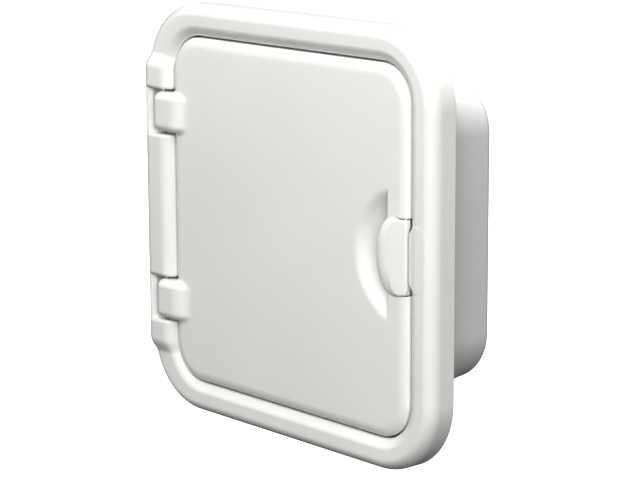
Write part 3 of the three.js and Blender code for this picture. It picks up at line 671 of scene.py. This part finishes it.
def pull_dome(x, y, z):
    """The pull's front: a half-moon in plan, rounded over and sloping down to the right."""
    left, half_z = LEVER_LOW[0], LEVER_HIGH[2]
    middle, half_x = (left + PULL_RIGHT) / 2, (PULL_RIGHT - left) / 2
    arc = np.minimum(x - PULL_MID_X, 0) / (PULL_MID_X - left)
    moon = (np.hypot(arc, z / half_z) - 1) * MOON_SCALE
    square = rounded_box(x, z, middle + 8, 0, half_x + 8, half_z, 9.0)
    plan = soft_max(moon, square, 1.0)
    fall = (PULL_EDGE_Y - PULL_FRONT, PULL_CREST_X - PULL_RIGHT)
    slope = plane(x, y, (PULL_CREST_X, PULL_FRONT), fall)
    steepness = DOME_SCALE + DOME_STEEPER * ease((x - DOME_FROM_X) / DOME_OVER_X)
    dome = both(plan * steepness, soft_max(PULL_FRONT - y, slope, PULL_CREST), PULL_EDGE)
    return both(dome, rounded_box(x, z, middle, 0, half_x, half_z, PULL_CORNER), 0.9)


def hook_field(x, y, z):
    """The hook behind the pull: an arm with a leaning nose that goes under the frame's lip."""
    arm = np.maximum(slab(x, *HOOK_ARM), slab(y, LATCH_Y, HOOK_TIP_Y))
    lean = plane(x, y, (HOOK_ARM[1], HOOK_TIP_Y), HOOK_LEAN)
    nose = np.maximum(slab(x, *HOOK_NOSE), np.maximum(NOSE_FRONT - y, lean))
    return both(np.maximum(np.minimum(arm, nose), lean), np.abs(z) - HOOK_HALF_Z, 0.4)


def lever_field(x, y, z):
    """The half-moon pull, its root over the pin and the hook behind it."""
    dome = pull_dome(x, y, z)
    shelf = np.maximum(np.maximum(dome, ROOT_LEFT - x), y - PULL_SHELF_BACK)
    hub = tube(x, y, LATCH_X, LATCH_Y, LEVER_HUB)
    root = np.maximum(slab(x, ROOT_LEFT, LATCH_X), slab(y, ROOT_FRONT, LATCH_Y + ROOT_DEPTH))
    stem = both(np.minimum(either(hub, root), shelf), np.abs(z) - LEVER_HALF_Z, 0.6)
    lever = np.minimum(both(dome, y - PULL_BACK, 0.5), stem)
    lever = either(lever, hook_field(x, y, z), 0.3)
    turns = slab(z, *SPRING_WELL_Z)
    well = np.maximum(tube(x, y, LATCH_X, LATCH_Y, SPRING_WELL_RADIUS), turns)
    mouth = np.maximum(np.maximum(slab(x, *SPRING_WELL_X), LATCH_Y - y), turns)
    lever = without(without(lever, well), mouth)
    return without(lever, tube(x, y, LATCH_X, LATCH_Y, LATCH_BORE))


def build_lever():
    xs = lines(LEVER_LOW[0] - 0.6, LEVER_HIGH[0] + 0.6, 0.35, [(79, 106, 0.35)])
    ys = lines(LEVER_LOW[1] - 0.5, LEVER_HIGH[1] + 0.5, 0.3, [(-23, -7.5, 0.3)])
    zs = lines(LEVER_LOW[2] - 0.5, LEVER_HIGH[2] + 0.5, 0.45, [(-24, 24, 0.4)])
    piece = smooth_solid("finger_pull", lever_field, xs, ys, zs)
    place_piece(piece, "latch", "white_gloss", WHITE, "latch_lever")


# ---- Tub --------------------------------------------------------------------------------------

def tub_outline(x, y, z, inset):
    """Distance from the tub's drafted wall, moved in by an inset."""
    share = np.clip((y - TUB_LOW[1]) / (TUB_HIGH[1] - TUB_EDGE - TUB_LOW[1]), 0, 1)
    half_x, half_z, corner = (a + (b - a) * share for a, b in zip(TUB_MOUTH, TUB_BACK))
    return rounded_box(x, z, 0, 0, half_x - inset, half_z - inset, np.maximum(corner - inset, 1))


def tub_field(x, y, z):
    """The tub with its flange, less its inside, the latch's notch and the screw holes."""
    walls = both(tub_outline(x, y, z, 0), y - TUB_HIGH[1], TUB_EDGE)
    floor = y - TUB_HIGH[1] + TUB_WALL
    inside = both(tub_outline(x, y, z, TUB_WALL), floor, TUB_EDGE - TUB_WALL)
    flange_sizes = (size - TUB_FLANGE_INSET for size in (OPEN_HALF_X, OPEN_HALF_Z, OPEN_CORNER))
    plan = rounded_box(x, z, 0, 0, *flange_sizes)
    flange = both(plan, slab(y, TUB_LOW[1], LEDGE_FRONT), 0.4)
    tub = np.maximum(either(walls, flange), TUB_LOW[1] - y)
    tub = without(tub, inside, 0.8)
    notch = np.maximum(TUB_NOTCH_LEFT - x, np.abs(z) - TUB_NOTCH_HALF_Z)
    tub = without(tub, notch, 0.4)
    depth = y - TUB_LOW[1]
    for hole_x, hole_z in MOUNT_HOLES:
        sink = tube(x, z, hole_x, hole_z, np.maximum(MOUNT_HEAD - depth, MOUNT_SINK))
        tub = without(tub, np.maximum(sink, y - LEDGE_FRONT - 1))
    for spot in TUB_SCREWS:
        sink = tube(x, z, spot[0], spot[2], TUB_SCREW_HEAD - depth * TUB_SCREW_CONE)
        tub = without(tub, np.maximum(sink, y - LEDGE_FRONT - 1))
    return tub


def build_tub():
    fine = 0.6
    holes = [(c - 5, c + 5, fine) for c in (-60, -20, 20, 60)]
    xs = lines(-103.6, 103.6, 6, [(-103.6, -54, fine), (54, 103.6, fine), *holes])
    ys = lines(TUB_LOW[1] - 0.5, TUB_HIGH[1] + 0.6, 3, [(-9, -5, 0.4), (55, 67, 0.6), (-5, 55, 3)])
    side = [(56, 107, fine), (11, 14, fine), (20, 32, fine)]
    zs = lines(-106.4, 106.4, 6, mirrored(side))
    piece = smooth_solid("storage_tub_shell", tub_field, xs, ys, zs)
    place_piece(piece, "frame_body", "tub_white", TUB_WHITE, "storage_tub")


# ---- Seals ---------------------------------------------------------------------------------

def ring_points(half_x, half_z, corner, offset, steps=20):
    """A rounded rectangle's points in x and z, grown by an offset."""
    radius = max(corner + offset, 0.5)
    points = []
    for quarter, (sx, sz) in enumerate(((1, 1), (-1, 1), (-1, -1), (1, -1))):
        for step in range(steps + 1):
            angle = (quarter + step / steps) * math.pi / 2
            points.append((
                sx * (half_x + offset - radius) + radius * math.cos(angle),
                sz * (half_z + offset - radius) + radius * math.sin(angle),
            ))
    return np.array(points)


def swept_ring(name, section, outline):
    """A closed section of (offset, y) points carried round an outline."""
    rings = []
    for offset, y in section:
        plan = outline(offset)
        rings.append(np.stack([plan[:, 0], np.full(len(plan), y), plan[:, 1]], axis=1))
    count, turns = len(section), len(rings[0])
    quads = []
    for i in range(count):
        after = (i + 1) % count
        for j in range(turns):
            beside = (j + 1) % turns
            near, far = i * turns, after * turns
            quads.append((near + j, near + beside, far + beside, far + j))
    return mesh_object(name, np.concatenate(rings), quads)


def rounded_section(low, high, front, back, radius, steps=5):
    """A rounded rectangle of (offset, y) points."""
    points = []
    corners = ((high, back, 0), (low, back, 1), (low, front, 2), (high, front, 3))
    for offset, y, quarter in corners:
        cx = offset - radius if offset == high else offset + radius
        cy = y - radius if y == back else y + radius
        for step in range(steps + 1):
            angle = (quarter + step / steps) * math.pi / 2
            points.append((cx + radius * math.cos(angle), cy + radius * math.sin(angle)))
    return points


def build_lid_seal():
    low, high = box_mm("lid_seal")
    section = rounded_section(*LID_SEAL_WIDTH, low[1], high[1], 0.8)
    piece = swept_ring("lid_seal_bead", section, lambda off: ring_points(*LID_SEAL_RING, off))
    place_piece(piece, "lid", "seal_rubber", RUBBER, "lid_seal")


def frame_seal_field(x, y, z):
    """The flat strip in the groove behind the frame."""
    inset = SEAL_INSET + SEAL_CLEARANCE
    outer = rounded_box(x, z, FRAME_MID_X, 0, FRAME_HALF_X, FRAME_HALF_Z, FRAME_CORNER) + inset
    inner = rounded_box(x, z, 0, 0, *(v + inset for v in (OPEN_HALF_X, OPEN_HALF_Z, OPEN_CORNER)))
    return both(both(outer, -inner, 0.3), slab(y, STRIP_LOW[1], STRIP_HIGH[1]), 0.4)


def build_frame_seal():
    fine = 0.6
    xs = lines(STRIP_LOW[0] - 0.6, STRIP_HIGH[0] + 0.6, 6, [(-126, -80, fine), (76, 121, fine)])
    zs = lines(STRIP_LOW[2] - 0.6, STRIP_HIGH[2] + 0.6, 6, [(-123, -78, fine), (78, 123, fine)])
    ys = lines(STRIP_LOW[1] - 0.5, STRIP_HIGH[1] + 0.5, 0.4, [(-4, 1, 0.4)])
    piece = smooth_solid("frame_seal_strip", frame_seal_field, xs, ys, zs)
    place_piece(piece, "frame_body", "seal_rubber", RUBBER, "frame_seal")


# ---- Pins, spring and screws ---------------------------------------------------------------

def turned(name, profile, sides=40):
    """A solid turned about z, from (radius, z) points that start and end on the axis."""
    rings = profile[1:-1]
    points = [(0, 0, profile[0][1])]
    for radius, z in rings:
        for side in range(sides):
            angle = side / sides * 2 * math.pi
            points.append((radius * math.cos(angle), radius * math.sin(angle), z))
    points.append((0, 0, profile[-1][1]))
    faces = []
    for side in range(sides):
        after = (side + 1) % sides
        faces.append((0, 1 + after, 1 + side))
        for ring in range(len(rings) - 1):
            a, b = 1 + ring * sides, 1 + (ring + 1) * sides
            faces.append((a + side, a + after, b + after, b + side))
        last = 1 + (len(rings) - 1) * sides
        faces.append((last + side, last + after, len(points) - 1))
    mesh = bpy.data.meshes.new(name)
    mesh.from_pydata([Vector(p) * MM for p in points], [], faces)
    mesh.validate()
    mesh.shade_smooth()
    return add_object(name, mesh)


def pin_profile(radius, low, high, chamfer=0.35):
    """A pin's side with a chamfer at each end, for turned()."""
    return [
        (0, low),
        (radius - chamfer, low),
        (radius - chamfer * 0.3, low + chamfer * 0.3),
        (radius, low + chamfer),
        (radius, high - chamfer),
        (radius - chamfer * 0.3, high - chamfer * 0.3),
        (radius - chamfer, high),
        (0, high),
    ]


def build_pins():
    for node_name, radius, body in (
        ("hinge_pin_upper", PIN_RADIUS, "frame_body"),
        ("hinge_pin_lower", PIN_RADIUS, "frame_body"),
        ("latch_pin", LATCH_PIN_RADIUS, "lid"),
    ):
        low, high = box_mm(node_name)
        piece = turned(node_name + "_turned", pin_profile(radius, low[2], high[2]))
        middle = (low + high) / 2
        piece.data.transform(Matrix.Translation(Vector((middle[0], middle[1], 0)) * MM))
        place_piece(piece, body, "stainless", STEEL, node_name)


def build_spring():
    """A torsion spring: five turns of round wire with a leg at each end."""
    radius, start, stop, turns, per_turn = 1.75, 8.9, 15.0, 5, 20
    wire_radius = 0.3
    leg_x, leg_near, leg_far = LATCH_X - radius, LATCH_Y + 1.2, LATCH_Y + 3.1
    points = [(leg_x, leg_far, start), (leg_x, leg_near, start)]
    for step in range(turns * per_turn + 1):
        angle = math.pi + step / per_turn * 2 * math.pi
        height = start + (stop - start) * step / (turns * per_turn)
        x, y = LATCH_X + radius * math.cos(angle), LATCH_Y + radius * math.sin(angle)
        points.append((x, y, height))
    points += [(leg_x, leg_near, stop + 0.1), (leg_x, leg_far, stop + 0.1)]
    curve = bpy.data.curves.new("latch_spring_wire", "CURVE")
    curve.dimensions = "3D"
    curve.bevel_depth = wire_radius * MM
    curve.bevel_resolution = 4
    curve.use_fill_caps = True
    spline = curve.splines.new("POLY")
    spline.points.add(len(points) - 1)
    for target, point in zip(spline.points, points):
        target.co = (*(Vector(point) * MM), 1)
    piece = add_object("latch_spring_wire", curve)
    place_piece(piece, "lid", "stainless", STEEL, "latch_spring")


def cross_cut(x, z, reach, width):
    """A cross recess that narrows towards its tips."""
    across = np.maximum(np.abs(x) - reach, np.abs(z) - width)
    upright = np.maximum(np.abs(z) - reach, np.abs(x) - width)
    return np.minimum(across, upright)


def countersunk_field(x, y, z):
    """A countersunk screw at the origin: its head's face looks along -y."""
    r = np.hypot(x, z)
    cone = (r - 2.85 + y * 0.72) * 0.81
    head = both(cone, slab(y, 0.05, 2.2), 0.15)
    thread = 1.35 + 0.16 * np.cos((y * 2 * math.pi / 1.1) + np.arctan2(z, x))
    shank = np.maximum((r - thread) * 0.8, slab(y, 1.2, 6.0))
    tip = np.maximum((r - 1.45 + (y - 5.2) * 0.9) * 0.7, y - 6.55)
    screw = either(head, np.maximum(shank, tip - 0.15), 0.1)
    recess = np.maximum(cross_cut(x, z, 1.5 - y * 0.5, 0.36), y - 1.3)
    return without(screw, recess, 0.08)


def pan_head_field(x, y, z):
    """A pan-head screw at the origin: its head's face looks along +y and its shank along -y."""
    r = np.hypot(x, z)
    head = both(r - 2.55, y - 1.45, 0.9)
    head = both(head, 0.05 - y, 0.1)
    thread = 1.16 + 0.14 * np.cos((y * 2 * math.pi / 1.0) + np.arctan2(z, x))
    shank = np.maximum((r - thread) * 0.8, slab(y, -5.1, 0.2))
    recess = np.maximum(cross_cut(x, z, 1.5, 0.36), 0.6 - y)
    return without(either(head, shank, 0.1), recess, 0.08)


def build_screws():
    """One mesh for each kind of screw, copied to every node of that kind."""
    step, head_height = 0.17, 1.5
    for names, field, body, span, anchor in (
        (TUB_SCREW_NODES, countersunk_field, "frame_body", (-0.3, 6.8), "front"),
        (LINER_SCREW_NODES, pan_head_field, "lid", (-5.4, 1.8), "back"),
    ):
        side = lines(-3.2, 3.2, step, [(-3.2, 3.2, step)])
        length = lines(*span, step, [(*span, step)])
        master = smooth_solid(names[0] + "_fine", field, side, length, side)
        for number, name in enumerate(names):
            low, high = box_mm(name)
            middle = (low + high) / 2
            seat = low[1] if anchor == "front" else high[1] - head_height
            piece = master
            if number:
                piece = add_object(name + "_fine", master.data.copy())
            place_screw(piece, number, (middle[0], seat, middle[2]))
            place_piece(piece, body, "stainless", STEEL, name)


def place_screw(piece, number, spot):
    """Moves a screw to its hole and turns its head to an angle of its own."""
    turn = Matrix.Rotation(math.radians(37 * number), 4, "Y")
    piece.matrix_world = Matrix.Translation(Vector(spot) * MM) @ turn


# ---- Stage, light and camera -------------------------------------------------------------------

EXPOSURE, CONTRAST_GAMMA = 0.13, 0.85
AMBIENT = 0.1
LAMP_SIZE = 0.9


def build_stage():
    """A white floor below the part, which neither lights it nor shows in it."""
    mesh = bpy.data.meshes.new("floor")
    half, height = 12.0, CAD_BOUNDS[0][2] - 0.05
    corners = [(x * half, y * half, height) for x, y in ((-1, -1), (1, -1), (1, 1), (-1, 1))]
    mesh.from_pydata(corners, [], [(0, 1, 2, 3)])
    floor = add_object("floor", mesh)
    material, tree, shader, place = new_material("pale_floor")
    tint = ramp(tree, noise(tree, place, 1.2, 1.0), (0.93, 0.93, 0.93), (0.94, 0.94, 0.94))
    tree.links.new(tint, shader.inputs["Base Color"])
    shader.inputs["Roughness"].default_value = 0.9
    shader.inputs["Emission Color"].default_value = (1, 1, 1, 1)
    shader.inputs["Emission Strength"].default_value = 1.0
    mesh.materials.append(material)
    floor.visible_diffuse = False
    floor.visible_glossy = False


def light_from(name, azimuth, elevation, distance, power):
    """A soft square light aimed at the hatch, from an azimuth right of straight ahead."""
    turn, rise = math.radians(azimuth), math.radians(elevation)
    across, ahead = math.sin(turn) * math.cos(rise), -math.cos(turn) * math.cos(rise)
    spot = Vector((across, ahead, math.sin(rise))) * distance
    light = bpy.data.lights.new(name, "AREA")
    light.shape = "RECTANGLE"
    light.size = light.size_y = LAMP_SIZE
    light.energy = power
    lamp = add_object(name, light)
    lamp.location = spot
    lamp.rotation_euler = (-spot).to_track_quat("-Z", "Y").to_euler()


def build_lights():
    light_from("key_high", 25, 45, 1.7, 13.6)
    light_from("key_low", 55, 20, 1.7, 17.9)
    light_from("overhead", 25, 70, 1.0, 4.2)
    light_from("fill_left", -60, 10, 1.7, 4.1)
    light_from("from_behind", 180, 50, 1.7, 18.4)
    world = bpy.data.worlds.new("studio")
    world.use_nodes = True
    background = world.node_tree.nodes["Background"]
    background.inputs["Color"].default_value = (1, 1, 1, 1)
    background.inputs["Strength"].default_value = AMBIENT
    bpy.context.scene.world = world
    view = bpy.context.scene.view_settings
    view.view_transform = "Standard"
    view.exposure = EXPOSURE
    view.gamma = CONTRAST_GAMMA


def build_camera():
    """A long lens from the right and a little above, turned towards the middle of the lid."""
    yaw, pitch, roll, distance = 0.848, 0.203, -0.004, 1329.4
    aim = Vector((11.4, 0, -5.7))
    across, ahead = math.sin(yaw) * math.cos(pitch), -math.cos(yaw) * math.cos(pitch)
    back = Vector((across, ahead, math.sin(pitch)))
    right = Vector((math.cos(yaw), math.sin(yaw), 0))
    up = back.cross(right)
    level = right * math.cos(roll) + up * math.sin(roll)
    upright = up * math.cos(roll) - right * math.sin(roll)
    data = bpy.data.cameras.new("camera")
    data.sensor_width = 36.0
    data.lens = 129.4
    camera = add_object("camera", data)
    turn = Matrix((level, upright, back)).transposed().to_4x4()
    camera.matrix_world = Matrix.Translation((aim + back * distance) * MM) @ turn
    bpy.context.scene.camera = camera


build_camera()
build_lights()
build_stage()
build_frame()
build_lid()
build_liner()
build_lever()
build_tub()
build_lid_seal()
build_frame_seal()
build_pins()
build_spring()
build_screws()
